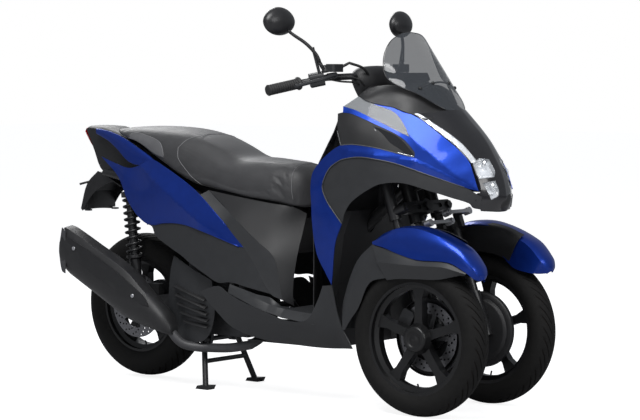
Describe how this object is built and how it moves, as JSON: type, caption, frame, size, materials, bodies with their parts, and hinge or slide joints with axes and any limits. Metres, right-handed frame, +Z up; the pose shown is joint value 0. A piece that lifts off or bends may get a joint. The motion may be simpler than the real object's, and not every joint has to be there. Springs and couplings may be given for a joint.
{
  "type": "leaning three-wheel scooter, two wheels in front",
  "caption": "Leaning reverse-trike scooter with twin steered front wheels, parallelogram lean linkage, tinted screen, stepped seat over a storage box, and stands.",
  "frame": {"origin": "centre of the bounding box on the floor, close to the middle of the wheelbase", "axes": "+X ahead, +Y to the rider's left, +Z up"},
  "size_m": [1.8793, 0.7944, 1.3043],
  "materials": {
    "tyre": "matte",
    "wheel": "satin black",
    "disc": "brushed",
    "frame_metal": "satin black",
    "cast_metal": "cast, dark",
    "steel": "satin",
    "blue": "metallic cobalt blue, gloss",
    "trim": "moulded, matte dark grey",
    "rubber": "matte",
    "seat_cover": "soft grain",
    "lamp": "clear",
    "tail_lens": "gloss red",
    "screen": "grey tint",
    "mirror": "mirror",
    "exhaust": "heat-proof matte black"
  },
  "bodies": {
    "chassis": {"main_frame": "frame_metal", "engine": "cast_metal", "drive_case": "cast_metal", "swing_arm": "cast_metal", "rear_shocks": "frame_metal", "exhaust": "exhaust", "radiator_cover": "trim", "front_fairing": "blue", "fairing_trim": "trim", "nose_mask": "trim", "front_lamps": "lamp", "windscreen": "screen", "dash": "trim", "inner_shield": "trim", "knee_shield": "trim", "floorboard": "trim", "side_covers": "trim", "seat_surround": "trim", "rear_blue_panels": "blue", "grab_rails": "blue", "tail_body": "trim", "tail_lamp": "tail_lens", "rear_fender": "trim", "storage_box": "trim"},
    "upper_arm": {"upper_arm": "frame_metal"},
    "lower_arm": {"lower_arm": "frame_metal"},
    "column_left": {"column_left": "frame_metal"},
    "column_right": {"column_right": "frame_metal"},
    "fork_left": {"fork_left": "frame_metal", "hub_carrier_left": "cast_metal", "fender_left": "blue", "fender_skirt_left": "trim"},
    "fork_right": {"fork_right": "frame_metal", "hub_carrier_right": "cast_metal", "fender_right": "blue", "fender_skirt_right": "trim"},
    "front_wheel_left": {"front_left_tyre": "tyre", "front_left_rim": "wheel", "front_left_disc": "disc"},
    "front_wheel_right": {"front_right_tyre": "tyre", "front_right_rim": "wheel", "front_right_disc": "disc"},
    "steering": {"handlebar": "frame_metal", "grips": "rubber", "bar_cowl": "trim", "controls": "trim", "mirrors": "trim", "mirror_glass": "mirror"},
    "rod_end_left": {"rod_end_left": "steel"},
    "rod_end_right": {"rod_end_right": "steel"},
    "tie_rod_left": {"tie_rod_left": "steel"},
    "tie_rod_right": {"tie_rod_right": "steel"},
    "rear_wheel": {"rear_tyre": "tyre", "rear_rim": "wheel", "rear_disc": "disc"},
    "centre_stand": {"centre_stand": "frame_metal"},
    "side_stand": {"side_stand": "frame_metal"},
    "seat": {"seat": "seat_cover"}
  },
  "joints": [
    {"name": "lean", "type": "hinge", "parent": "chassis", "child": "upper_arm", "pos_m": [0.46631, 0, 0.76021], "axis": [0.9397, 0, 0.342], "range_deg": [-50, 50]},
    {"name": "lower_arm_lean", "type": "hinge", "parent": "chassis", "child": "lower_arm", "pos_m": [0.51008, 0, 0.63993], "axis": [0.9397, 0, 0.342], "range_deg": [-50, 50]},
    {"name": "column_left_lean", "type": "hinge", "parent": "upper_arm", "child": "column_left", "pos_m": [0.46631, 0.115, 0.76021], "axis": [0.9397, 0, 0.342], "range_deg": [-50, 50]},
    {"name": "column_right_lean", "type": "hinge", "parent": "upper_arm", "child": "column_right", "pos_m": [0.46631, -0.115, 0.76021], "axis": [0.9397, 0, 0.342], "range_deg": [-50, 50]},
    {"name": "steer", "type": "hinge", "parent": "chassis", "child": "steering", "pos_m": [0.743, 0, 0], "axis": [-0.342, 0, 0.9397], "range_deg": [-35, 35]},
    {"name": "fork_left_steer", "type": "hinge", "parent": "column_left", "child": "fork_left", "pos_m": [0.743, 0.115, 0], "axis": [-0.342, 0, 0.9397], "range_deg": [-35, 35]},
    {"name": "fork_right_steer", "type": "hinge", "parent": "column_right", "child": "fork_right", "pos_m": [0.743, -0.115, 0], "axis": [-0.342, 0, 0.9397], "range_deg": [-35, 35]},
    {"name": "rod_end_left_turn", "type": "hinge", "parent": "steering", "child": "rod_end_left", "pos_m": [0.62884, 0, 0.63527], "axis": [-0.342, 0, 0.9397], "range_deg": [-35, 35]},
    {"name": "rod_end_right_turn", "type": "hinge", "parent": "steering", "child": "rod_end_right", "pos_m": [0.6391, 0, 0.60708], "axis": [-0.342, 0, 0.9397], "range_deg": [-35, 35]},
    {"name": "tie_rod_left_swing", "type": "hinge", "parent": "rod_end_left", "child": "tie_rod_left", "pos_m": [0.62884, 0, 0.63527], "axis": [0.9397, 0, 0.342], "range_deg": [-50, 50]},
    {"name": "tie_rod_right_swing", "type": "hinge", "parent": "rod_end_right", "child": "tie_rod_right", "pos_m": [0.6391, 0, 0.60708], "axis": [0.9397, 0, 0.342], "range_deg": [-50, 50]},
    {"name": "front_left_wheel_spin", "type": "hinge", "parent": "fork_left", "child": "front_wheel_left", "pos_m": [0.675, 0.1925, 0.25], "axis": [0, 1, 0], "continuous": true},
    {"name": "front_right_wheel_spin", "type": "hinge", "parent": "fork_right", "child": "front_wheel_right", "pos_m": [0.675, -0.1925, 0.25], "axis": [0, 1, 0], "continuous": true},
    {"name": "rear_wheel_spin", "type": "hinge", "parent": "chassis", "child": "rear_wheel", "pos_m": [-0.675, 0, 0.261], "axis": [0, 1, 0], "continuous": true},
    {"name": "centre_stand_fold", "type": "hinge", "parent": "chassis", "child": "centre_stand", "pos_m": [-0.33, 0, 0.165], "axis": [0, 1, 0], "range_deg": [0, 95]},
    {"name": "side_stand_fold", "type": "hinge", "parent": "chassis", "child": "side_stand", "pos_m": [-0.095, 0.17, 0.225], "axis": [0.1371, -0.9796, -0.1469], "range_deg": [0, 100]},
    {"name": "seat_tilt", "type": "hinge", "parent": "chassis", "child": "seat", "pos_m": [0.122, 0, 0.645], "axis": [0, 1, 0], "range_deg": [0, 58]}
  ],
  "couplings": [
    {"joint": "lower_arm_lean", "follows": "lean", "ratio": 1},
    {"joint": "column_left_lean", "follows": "lean", "ratio": -1},
    {"joint": "column_right_lean", "follows": "lean", "ratio": -1},
    {"joint": "tie_rod_left_swing", "follows": "lean", "ratio": 1},
    {"joint": "tie_rod_right_swing", "follows": "lean", "ratio": 1},
    {"joint": "fork_left_steer", "follows": "steer", "ratio": 1},
    {"joint": "fork_right_steer", "follows": "steer", "ratio": 1},
    {"joint": "rod_end_left_turn", "follows": "steer", "ratio": -1},
    {"joint": "rod_end_right_turn", "follows": "steer", "ratio": -1}
  ]
}
